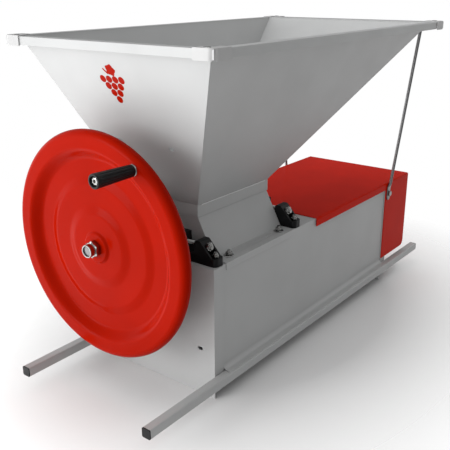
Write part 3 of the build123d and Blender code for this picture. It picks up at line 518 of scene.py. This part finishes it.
def washer(centre, axis, outer, bore, height):
    """Flat washer with its rim rounded by stamping."""
    edge = height * 0.35
    profile = np.array([(0, bore), (0, outer - edge), (edge, outer), (height - edge, outer),
                        (height, outer - edge), (height, bore)])
    return turned(profile, centre, axis, 64)


# ---------------------------------------------------------------- operators

class CRUSHER_OT_stage(Operator):
    """Camera, lamps, sky and a pale floor"""
    bl_idname = "crusher.stage"
    bl_label = "Stage"

    def execute(self, context):
        stage = context.scene.crusher_stage
        camera = bpy.data.objects.new("camera", bpy.data.cameras.new("camera"))
        camera.data.lens = stage.lens
        camera.data.clip_end = 100.0
        look = Vector((math.cos(stage.dip) * math.cos(stage.heading),
                       math.cos(stage.dip) * math.sin(stage.heading), -math.sin(stage.dip)))
        camera.rotation_mode = "QUATERNION"
        camera.rotation_quaternion = look.to_track_quat("-Z", "Y") @ Quaternion((0, 0, 1), stage.roll)
        camera.location = stage.eye
        context.scene.collection.objects.link(camera)
        context.scene.camera = camera
        context.scene.view_settings.view_transform = "Standard"
        self.lamp("key_lamp", (-3.3, 1.7, 0.95), (-0.3, 0.0, 0.4), 1.5, stage.key_power)
        self.lamp("top_lamp", (0.6, 0.6, 2.6), (0, 0, 0.3), 1.2, stage.top_power)
        self.floor()
        self.sky(context)
        return {"FINISHED"}

    def lamp(self, name, place, target, size, power):
        """A square soft box aimed at a point."""
        light = bpy.data.lights.new(name, "AREA")
        light.size = size
        light.energy = power
        lamp = bpy.data.objects.new(name, light)
        lamp.location = place
        lamp.rotation_mode = "QUATERNION"
        lamp.rotation_quaternion = (Vector(target) - Vector(place)).to_track_quat("-Z", "Y")
        bpy.context.scene.collection.objects.link(lamp)

    def floor(self):
        """Flat disc under the machine."""
        radius, columns = 14.0, 96
        a = np.linspace(0, TURN, columns, endpoint=False)
        rim = np.stack([radius * np.cos(a), radius * np.sin(a), np.zeros(columns)], axis=1)
        mesh = bpy.data.meshes.new("floor")
        mesh.from_pydata(rim.tolist(), [], [list(range(columns))])
        floor = bpy.data.objects.new("floor", mesh)
        bpy.context.scene.collection.objects.link(floor)
        pale = Shader("pale_floor", (0.74, 0.74, 0.74), 0.8, Specular_IOR_Level=0.2)
        pale.tint(pale.ranged(pale.noise(3.0), 0, 1), (0.79, 0.79, 0.79), (0.81, 0.81, 0.81))
        distance = pale.tree.nodes.new("ShaderNodeVectorMath")
        distance.operation = "LENGTH"
        pale.link(pale.stretched((1.0, 1.5, 1.0)), distance.inputs[0])
        pale.link(pale.ranged(distance.outputs["Value"], 1.0, 0.0, 0.45, 0.95), pale.surface.inputs["Alpha"])
        mesh.materials.append(pale.material)

    def sky(self, context):
        """White sky: bright low down in front, darker towards -Y and behind, and plain white to the camera."""
        world = bpy.data.worlds.new("studio")
        world.use_nodes = True
        context.scene.world = world
        tree = world.node_tree
        background = tree.nodes["Background"]
        background.inputs["Color"].default_value = (1.0, 1.0, 1.0, 1.0)
        place = tree.nodes.new("ShaderNodeTexCoord")
        strength = tree.nodes.new("ShaderNodeLightPath").outputs["Is Camera Ray"]
        level, brightest = None, 3.0
        front_left, near_side, behind = (-0.65, 0.45, -0.6), (0, -1, 0), (0.74, 0.57, 0.35)
        for direction, start, end, base, reached in ((front_left, 0.1, 0.95, 0.85, 2.7),
                                                     (near_side, -0.6, 0.7, brightest, 0.33),
                                                     (behind, 0.4, 0.95, brightest, 0.22)):
            towards = tree.nodes.new("ShaderNodeVectorMath")
            towards.operation = "DOT_PRODUCT"
            towards.inputs[1].default_value = direction
            tree.links.new(place.outputs["Generated"], towards.inputs[0])
            fall = tree.nodes.new("ShaderNodeMapRange")
            for socket, value in (("From Min", start), ("From Max", end), ("To Min", base), ("To Max", reached)):
                fall.inputs[socket].default_value = value
            tree.links.new(towards.outputs["Value"], fall.inputs["Value"])
            level = self.combine(tree, "MINIMUM", level, fall.outputs["Result"])
        tree.links.new(self.combine(tree, "MAXIMUM", strength, level), background.inputs["Strength"])

    def combine(self, tree, operation, first, second):
        """Joins two values, or passes the second on when there is no first."""
        if first is None:
            return second
        node = tree.nodes.new("ShaderNodeMath")
        node.operation = operation
        tree.links.new(first, node.inputs[0])
        tree.links.new(second, node.inputs[1])
        return node.outputs["Value"]


class CRUSHER_OT_sheet_metal(Operator):
    """Grey paint and rounded edges on the body, housing and hopper"""
    bl_idname = "crusher.sheet_metal"
    bl_label = "Body and hopper"

    def execute(self, context):
        for name in sorted(n for n, s in slot_of_node.items() if s == "grey_paint"):
            dress(name)
        low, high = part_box("hopper_collar")
        inset, radius = 0.012, 0.0011
        length = high.x - low.x - 2 * inset
        seams = [stud((low.x + inset, y, high.z - 0.0008), (1, 0, 0), radius, 0, length)
                 for y in (low.y - 0.0006, high.y + 0.0006)]
        seam = piece("collar_seams", seams, "hopper_collar", replace=False)
        # The seam bead is painted 1.7 times lighter than the caps: a painted highlight along the collar's top
        # edge
        seam.data.materials[0] = cap_plastic("seam_painted_highlight", 1.7)
        caps = dress("hopper_corner_caps", 0.0026, 4)
        caps.data.materials[0] = cap_plastic()
        return {"FINISHED"}


class CRUSHER_OT_stem_cover(Operator):
    """Red enamel on the stem cover, painted lighter than the wheel's as painted light"""
    bl_idname = "crusher.stem_cover"
    bl_label = "Stem cover"

    def execute(self, context):
        cover = dress("stem_cover", 0.0008, 3)
        paint = context.scene.crusher_paint
        # The cover's enamel is a lighter copy of the wheel's: painted light
        cover.data.materials[0] = red_enamel(paint, paint.cover_painted_light)
        return {"FINISHED"}


class CRUSHER_OT_flywheel(Operator):
    """Pressed flywheel with its steps and rolled bead"""
    bl_idname = "crusher.flywheel"
    bl_label = "Flywheel"

    def execute(self, context):
        wheel = context.scene.crusher_wheel
        centre, half = middle("flywheel")
        rim = half.z
        bead = half.x
        crest = -half.x
        bore = 0.01005
        boss = 3 * MM
        ramps = ((27 * MM, 34 * MM, wheel.step_depth), (62 * MM, 87 * MM, wheel.step_depth),
                 (121 * MM, 144 * MM, wheel.step_depth), (170 * MM, 196 * MM, -boss - 3 * wheel.step_depth))

        def face(r):
            """Crest + boss at the middle, then one smooth ramp after another."""
            depth = np.full_like(r, boss)
            for start, end, rise in ramps:
                depth = depth + rise * smooth((r - start) / (end - start))
            return crest + depth

        r = np.linspace(bore, rim - bead, 150)
        front = np.stack([face(r), r], axis=1)
        roll = arc((crest + bead, rim - bead), bead, 180, 0, 25)
        hem = arc((crest + 2 * bead - wheel.sheet / 2, rim - bead), wheel.sheet / 2, 0, -180, 6)
        inner = arc((crest + bead, rim - bead), bead - wheel.sheet, 0, 180, 25)
        back = np.stack([face(r[::-1]) + wheel.sheet, r[::-1]], axis=1)
        profile = np.vstack([front, roll[1:], hem[1:-1], inner, back[1:]])
        piece("flywheel_pressing", [turned(profile, centre, (1, 0, 0), wheel.steps)], "flywheel")
        return {"FINISHED"}


class CRUSHER_OT_hub(Operator):
    """Hub sleeve with its hexagon, the spacer and the set screw"""
    bl_idname = "crusher.hub"
    bl_label = "Hub"

    def execute(self, context):
        centre, half = middle("flywheel_hub")
        flat, sleeve, bore, edge = 0.015, 0.013, 0.01005, 0.0008
        step = -half.x + 0.011
        corner = flat / math.cos(math.pi / 6)
        rows = [(-half.x + edge, bore), (-half.x, bore + edge), (-half.x, sleeve - edge),
                (-half.x + edge, sleeve), (step, sleeve), (step, flat - edge),
                (step + 2 * edge, corner), (half.x - 2 * edge, corner), (half.x, flat - edge),
                (half.x, bore + edge), (half.x - edge, bore)]
        shape = six_sided(flat)

        def radius_of(row, radius, a):
            return np.where(radius > sleeve + edge / 2, np.minimum(radius, shape(a + TURN / 12)), radius)
        piece("hub_sleeve", [turned(np.array(rows), centre, (1, 0, 0), 96, radius_of)], "flywheel_hub")
        dress("hub_set_screw", 0.0004)
        dress("drive_spacer")
        return {"FINISHED"}


class CRUSHER_OT_handle(Operator):
    """Fluted grip with its bolt, washer and nut"""
    bl_idname = "crusher.handle"
    bl_label = "Crank handle"

    def execute(self, context):
        grip = context.scene.crusher_grip
        centre, half = middle("handle_grip")
        tip, root, bore, recess = half.z, 0.011, 0.00405, 0.009
        soft = 0.002
        skirt = np.stack([np.linspace(-half.x + soft, half.x - soft, 60),
                          np.linspace(tip, root, 60)], axis=1)
        profile = np.vstack([
            arc((-half.x + soft, tip - soft), soft, 180, 90, 8)[:-1], skirt[1:-1],
            arc((half.x - soft / 2, root - soft / 2), soft / 2, 90, 0, 6),
            [(half.x, bore + 0.0005), (half.x - 0.0005, bore), (-half.x + 0.008, bore),
             (-half.x + 0.008, recess - 0.001), (-half.x + 0.007, recess), (-half.x + 0.001, recess),
             (-half.x, recess + 0.0008)]])
        along = (profile[:, :1] + half.x) / (2 * half.x)
        window = smooth((along - 0.06) / 0.07) * smooth((0.94 - along) / 0.07)

        def radius_of(row, radius, a):
            groove = (0.5 + 0.5 * np.cos(grip.flutes * a)) ** 3
            return np.where(radius > recess + 0.0015, radius - grip.flute_depth * groove * window, radius)
        piece("fluted_grip", [turned(profile, centre, (1, 0, 0), 192, radius_of)], "handle_grip")
        bolt, bolt_half = middle("handle_bolt")
        ring, ring_half = middle("handle_washer")
        back, back_half = middle("handle_nut")
        ring_foot = (ring.x - ring_half.x, ring.y, ring.z)
        back_foot = (back.x - back_half.x, back.y, back.z)
        piece("handle_ring", [washer(ring_foot, (1, 0, 0), ring_half.z, WASHER_BORE, 2 * ring_half.x)],
              "handle_washer")
        piece("handle_locknut", [nut(back_foot, (1, 0, 0), M8_FLATS, 2 * back_half.x, M8_BORE)],
              "handle_nut")
        head = M8_HEAD
        socket = 0.0032
        start = -bolt_half.x
        rows = np.array([(start + 0.003, 0.0), (start + 0.003, socket), (start, socket + 0.0003),
                         (start, 0.0056), (start + 0.0008, 0.0075), (start + head, 0.0075),
                         (start + head, M8_RADIUS), (bolt_half.x - 0.008, M8_RADIUS),
                         (bolt_half.x - 0.008, 0.0)])
        outer, key = six_sided(0.0065), six_sided(socket * math.cos(math.pi / 6))

        def head_radius(row, radius, a):
            round_head = np.where(radius > 0.0045, np.minimum(radius, outer(a)), radius)
            keyed = np.minimum(round_head, key(a) + (row - 1) * 0.0003)
            return np.where((row == 1) | (row == 2), keyed, round_head)
        piece("handle_screw", [turned(rows, bolt, (1, 0, 0), 48, head_radius),
                               threaded(bolt, (1, 0, 0), M8_RADIUS, bolt_half.x - 0.0085, TAIL)],
              "handle_bolt")
        return {"FINISHED"}


class CRUSHER_OT_emblem(Operator):
    """Printed bunch of grapes with a leaf, on the front of the hopper"""
    bl_idname = "crusher.emblem"
    bl_label = "Grape emblem"

    def execute(self, context):
        emblem = context.scene.crusher_emblem
        low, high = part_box("hopper_front_panel")
        foot_low, foot_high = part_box("hopper_collar")
        foot = np.array((foot_low.x, (low.y + high.y) / 2, foot_high.z))
        mouth = np.array((low.x + 0.0187, foot[1], high.z - 0.002))
        up = (mouth - foot) / np.linalg.norm(mouth - foot)
        side = np.array((0.0, -1.0, 0.0))
        out = np.cross(up, side)
        out = out if out[0] < 0 else -out
        origin = mouth - up * emblem.drop + side * emblem.shift
        grape, height, lift, depth = emblem.grape, 0.00025, 0.00005, 0.0003

        def pad(centre, outline, rings=7, columns=40):
            """Low dome: radius is the outline times the share, height falls as one less its square."""
            share = np.linspace(0.0, 1.0, rings)[1:, None]
            a = np.linspace(0, TURN, columns, endpoint=False)[None, :]
            reach = share * outline(a)
            x, y = centre[0] + reach * np.cos(a), centre[1] + reach * np.sin(a)
            z = height * (1 - share ** 2) + 0 * a
            points = origin + x[..., None] * side + y[..., None] * up + (z[..., None] + lift) * out
            base = points[-1:] - out * depth
            middle_point = origin + centre[0] * side + centre[1] * up
            top = np.repeat((middle_point + (height + lift) * out)[None, None], columns, 1)
            floor = np.repeat((middle_point - depth * out)[None, None], columns, 1)
            return skin(np.concatenate([top, points, base, floor]), wrap_rows=False)

        pads = []
        for row, count in enumerate((4, 3, 2, 1)):
            for place in range(count):
                x = (place - (count - 1) / 2) * 2.1 * grape
                pads.append(pad((x, -row * 1.85 * grape), lambda a: grape + 0 * a))

        def leaf(a):
            return grape * (1.5 + 0.17 * np.cos(5 * a) + 0.06 * np.cos(15 * a))

        def stalk(a):
            return grape * (0.28 + 0.75 * np.abs(np.cos(a - 2.3)) ** 9)
        pads.append(pad((0.6 * grape, 2.6 * grape), leaf))
        pads.append(pad((-1.3 * grape, 2.2 * grape), stalk))
        emblem_piece = piece("grape_emblem", pads, "hopper_front_panel", replace=False)
        emblem_piece.data.materials[0] = finish_for("red_paint")
        return {"FINISHED"}


class CRUSHER_OT_blocks(Operator):
    """Black bearing blocks, sliding bushes and adjusting screws"""
    bl_idname = "crusher.blocks"
    bl_label = "Bearing blocks"

    def execute(self, context):
        for name in ("right_front_block", "right_rear_block", "left_front_block", "left_rear_block"):
            dress(name, 0.0014, 3)
        for name in ("front_sliding_bush", "rear_sliding_bush"):
            dress(name, 0.0005)
        screws, nuts = [], []
        for low, high in islands("adjuster_screws", (0,)):
            centre = ((low[0] + high[0]) / 2, high[1], (low[2] + high[2]) / 2)
            length = high[1] - low[1]
            radius = (high[2] - low[2]) / 2
            screws.append(threaded(centre, (0, -1, 0), radius, 0, length - 0.0008, 0.0015))
        for low, high in islands("adjuster_nuts", (0,)):
            centre = ((low[0] + high[0]) / 2, high[1], (low[2] + high[2]) / 2)
            nuts.append(nut(centre, (0, -1, 0), high[2] - low[2], high[1] - low[1], 0.0052))
        piece("adjuster_threads", screws, "adjuster_screws")
        piece("adjuster_locknuts", nuts, "adjuster_nuts")
        return {"FINISHED"}


class CRUSHER_OT_fasteners(Operator):
    """Nuts, bolts and washers"""
    bl_idname = "crusher.fasteners"
    bl_label = "Fasteners"

    def execute(self, context):
        up = (0, 0, 1)
        nuts = [nut(self.foot(a, b), up, M8_FLATS, b[2] - a[2], M8_BORE)
                for a, b in islands("deck_nuts", (0, 1))]
        piece("deck_locknuts", nuts, "deck_nuts")
        rings = [washer(self.foot(a, b), up, (b[1] - a[1]) / 2, WASHER_BORE, b[2] - a[2])
                 for a, b in islands("housing_washers", (0, 1))]
        piece("broad_washers", rings, "housing_washers")
        for name in ("housing_bolts", "block_bolts"):
            skins = []
            for a, b in islands(name, (0, 1)):
                foot, shank = self.foot(a, b), b[2] - a[2] - 0.0165
                skins.append(nut(foot, up, M8_FLATS, M8_HEAD, SMALL_BORE))
                skins.append(stud(foot, up, 0.0039, 0.0004, shank))
                skins.append(threaded(foot, up, M8_RADIUS, shank, 0.0157))
            piece(name.replace("bolts", "studs"), skins, name)
        skins = []
        for low, high in islands("strut_bolts", (1,)):
            side = 1 if high[1] > 0 else -1
            outer = high[1] if side > 0 else low[1]
            foot = ((low[0] + high[0]) / 2, outer, (low[2] + high[2]) / 2)
            inward = (0, -side, 0)
            length = high[1] - low[1]
            tail_nut = (foot[0], outer - side * (length - 0.0083), foot[2])
            skins.append(nut(foot, inward, M8_FLATS, M8_HEAD, SMALL_BORE))
            skins.append(stud(foot, inward, M8_RADIUS, 0.0006, length - TAIL))
            skins.append(threaded(foot, inward, M8_RADIUS, length - 0.0085, TAIL))
            skins.append(nut(tail_nut, inward, M8_FLATS, M8_HEAD, M8_BORE))
        piece("strut_screws", skins, "strut_bolts")
        skins = []
        for low, high in islands("cap_screws", (0, 1)):
            centre = ((low[0] + high[0]) / 2, (low[1] + high[1]) / 2, high[2] - 0.0012)
            reach = (high[0] - low[0]) / 2
            share = np.linspace(1, 0, 8)
            dome = np.stack([0.0003 + 0.0009 * np.sqrt(1 - share ** 2), reach * share], axis=1)
            skins.append(turned(np.vstack([[(0, 0), (0, reach)], dome]), centre, (0, 0, 1), 48))
            skins.append(stud(centre, (0, 0, -1), M8_RADIUS, -0.0002, 0.014))
        piece("domed_screws", skins, "cap_screws")
        for name in ("block_screws", "bearing_bolts"):
            dress(name, 0.0005)
        return {"FINISHED"}

    def foot(self, low, high):
        """Middle of the underside of a box."""
        return (low[0] + high[0]) / 2, (low[1] + high[1]) / 2, low[2]


class CRUSHER_OT_stays(Operator):
    """Round stays between the rim and the hood"""
    bl_idname = "crusher.stays"
    bl_label = "Stays"

    def execute(self, context):
        bar = drawn_bar()
        for name in ("right_strut", "left_strut"):
            stay = piece(name.replace("strut", "stay"), [self.stay(name)], name, 50.0)
            stay.data.materials[0] = bar
        return {"FINISHED"}

    def stay(self, name):
        """Rod swept along a path: centre + wide * across + thin * through.

        The section is |x / wide|^n + |y / thin|^n = 1. It goes from a flat plate (n = 8) at each
        end to a round rod (n = 2), and the foot's end is a half circle.
        """
        half_width, half_plate, step, columns = 0.009, 0.0015, 0.0012, 32
        foot_plate, head_plate, fade = 0.034, 0.022, 0.014
        points = np.array([v.co for v in nodes[name].data.vertices], float)
        low, high = points.min(0), points.max(0)
        foot = points[points[:, 2] < low[2] + 2 * half_plate]
        head = points[points[:, 2] > high[2] - 0.0005]
        side = 1 if low[1] > -0.05 else -1
        foot_x, foot_y, _ = (foot.min(0) + foot.max(0)) / 2
        head_x, head_y = head[:, 0].min() + half_width, (head[:, 1].min() + head[:, 1].max()) / 2
        top = high[2] - 0.0016
        rod_foot = np.array((foot_x, foot_y + side * 0.0035, low[2] + 0.046))
        rod_head = np.array((head_x, head_y, high[2] - 2 * half_plate))
        run = rod_head - rod_foot
        corners = np.array([(foot_x, foot_y, low[2]), (foot_x, foot_y, low[2] + foot_plate), rod_foot,
                            rod_head - run / np.linalg.norm(run) * 0.008, (head_x + 0.001, head_y, top),
                            (head[:, 0].max(), head_y, top)])
        lengths = np.linalg.norm(np.diff(corners, axis=0), axis=1)
        reached = np.concatenate([[0], np.cumsum(lengths)])
        total = reached[-1]
        s = np.linspace(0, total, int(total / step))
        path = np.stack([np.interp(s, reached, corners[:, k]) for k in range(3)], axis=1)
        for _ in range(2):
            padded = np.pad(path, ((3, 3), (0, 0)), mode="reflect", reflect_type="odd")
            path = np.stack([np.convolve(padded[:, k], np.full(7, 1 / 7), "valid") for k in range(3)], axis=1)
        along = np.gradient(path, axis=0)
        along /= np.linalg.norm(along, axis=1)[:, None]
        turn = smooth(s / total)[:, None] * math.pi / 2
        across = np.cos(turn) * np.array((1.0, 0, 0)) + np.sin(turn) * np.array((0, 1.0, 0))
        across -= along * (across * along).sum(1)[:, None]
        across /= np.linalg.norm(across, axis=1)[:, None]
        through = np.cross(along, across)
        near_foot = 1 - smooth((s - foot_plate) / fade)
        near_head = smooth((s - total + head_plate + fade) / fade)
        flat = np.maximum(near_foot, near_head)[:, None]
        wide = M8_RADIUS + (half_width - M8_RADIUS) * flat
        thin = M8_RADIUS - (M8_RADIUS - half_plate) * flat
        power = 2 + 6 * flat
        wide = wide * np.sqrt(1 - (1 - np.clip(s / half_width, 0.01, 1)) ** 2)[:, None]
        a = np.linspace(0, TURN, columns, endpoint=False)[None, :]
        x = wide * np.sign(np.cos(a)) * np.abs(np.cos(a)) ** (2 / power)
        y = thin * np.sign(np.sin(a)) * np.abs(np.sin(a)) ** (2 / power)
        rings = path[:, None] + x[..., None] * across[:, None] + y[..., None] * through[:, None]
        first, last = np.repeat(path[:1, None], columns, 1), np.repeat(path[-1:, None], columns, 1)
        return skin(np.concatenate([first, rings, last]), wrap_rows=False)


class CRUSHER_OT_plugs(Operator):
    """Plastic plugs in the skid tubes"""
    bl_idname = "crusher.plugs"
    bl_label = "Skid plugs"

    def execute(self, context):
        dress("skid_end_plugs", 0.0006, 3)
        return {"FINISHED"}


class CRUSHER_OT_drive(Operator):
    """Gears, shafts and crushing rollers"""
    bl_idname = "crusher.drive"
    bl_label = "Drive and rollers"

    def execute(self, context):
        for name in sorted(n for n, s in slot_of_node.items() if s in ("gear_iron", "shaft_steel")):
            dress(name, 0.0003, 1)
        for name in ("left_roller", "right_roller"):
            dress(name, 0.001, 2)
        return {"FINISHED"}


class CRUSHER_OT_drum(Operator):
    """Perforated grid, arms and paddles"""
    bl_idname = "crusher.drum"
    bl_label = "Destemming drum"

    def execute(self, context):
        dress("destemming_grid", 0.0003, 1)
        dress("beater_arms", 0.0003, 1)
        dress("beater_paddles", 0.0008, 2)
        return {"FINISHED"}


class CRUSHER_PT_panel(Panel):
    """Lists the machine's pieces in the sidebar"""
    bl_idname = "CRUSHER_PT_panel"
    bl_label = "Crusher"
    bl_space_type = "VIEW_3D"
    bl_region_type = "UI"
    bl_category = "Crusher"

    def draw(self, context):
        for operator in OPERATORS:
            self.layout.operator(operator.bl_idname)
        for group in SETTINGS:
            settings = getattr(context.scene, group)
            for name in settings.bl_rna.properties.keys():
                if name not in ("rna_type", "name"):
                    self.layout.prop(settings, name)


SETTINGS = {"crusher_paint": PaintSettings, "crusher_wheel": WheelSettings, "crusher_grip": GripSettings,
            "crusher_emblem": EmblemSettings,
            "crusher_fasteners": FastenerSettings, "crusher_stage": StageSettings}
OPERATORS = (CRUSHER_OT_stage, CRUSHER_OT_sheet_metal, CRUSHER_OT_stem_cover, CRUSHER_OT_flywheel,
             CRUSHER_OT_hub, CRUSHER_OT_handle, CRUSHER_OT_emblem, CRUSHER_OT_blocks,
             CRUSHER_OT_fasteners, CRUSHER_OT_stays, CRUSHER_OT_plugs, CRUSHER_OT_drive, CRUSHER_OT_drum)


def register():
    for group, settings in SETTINGS.items():
        bpy.utils.register_class(settings)
        setattr(bpy.types.Scene, group, PointerProperty(type=settings))
    for operator in OPERATORS:
        bpy.utils.register_class(operator)
    bpy.utils.register_class(CRUSHER_PT_panel)


def unregister():
    bpy.utils.unregister_class(CRUSHER_PT_panel)
    for operator in reversed(OPERATORS):
        bpy.utils.unregister_class(operator)
    for group, settings in SETTINGS.items():
        delattr(bpy.types.Scene, group)
        bpy.utils.unregister_class(settings)


def main():
    register()
    for operator in OPERATORS:
        group, name = operator.bl_idname.split(".")
        getattr(getattr(bpy.ops, group), name)()


if __name__ == "__main__":
    main()
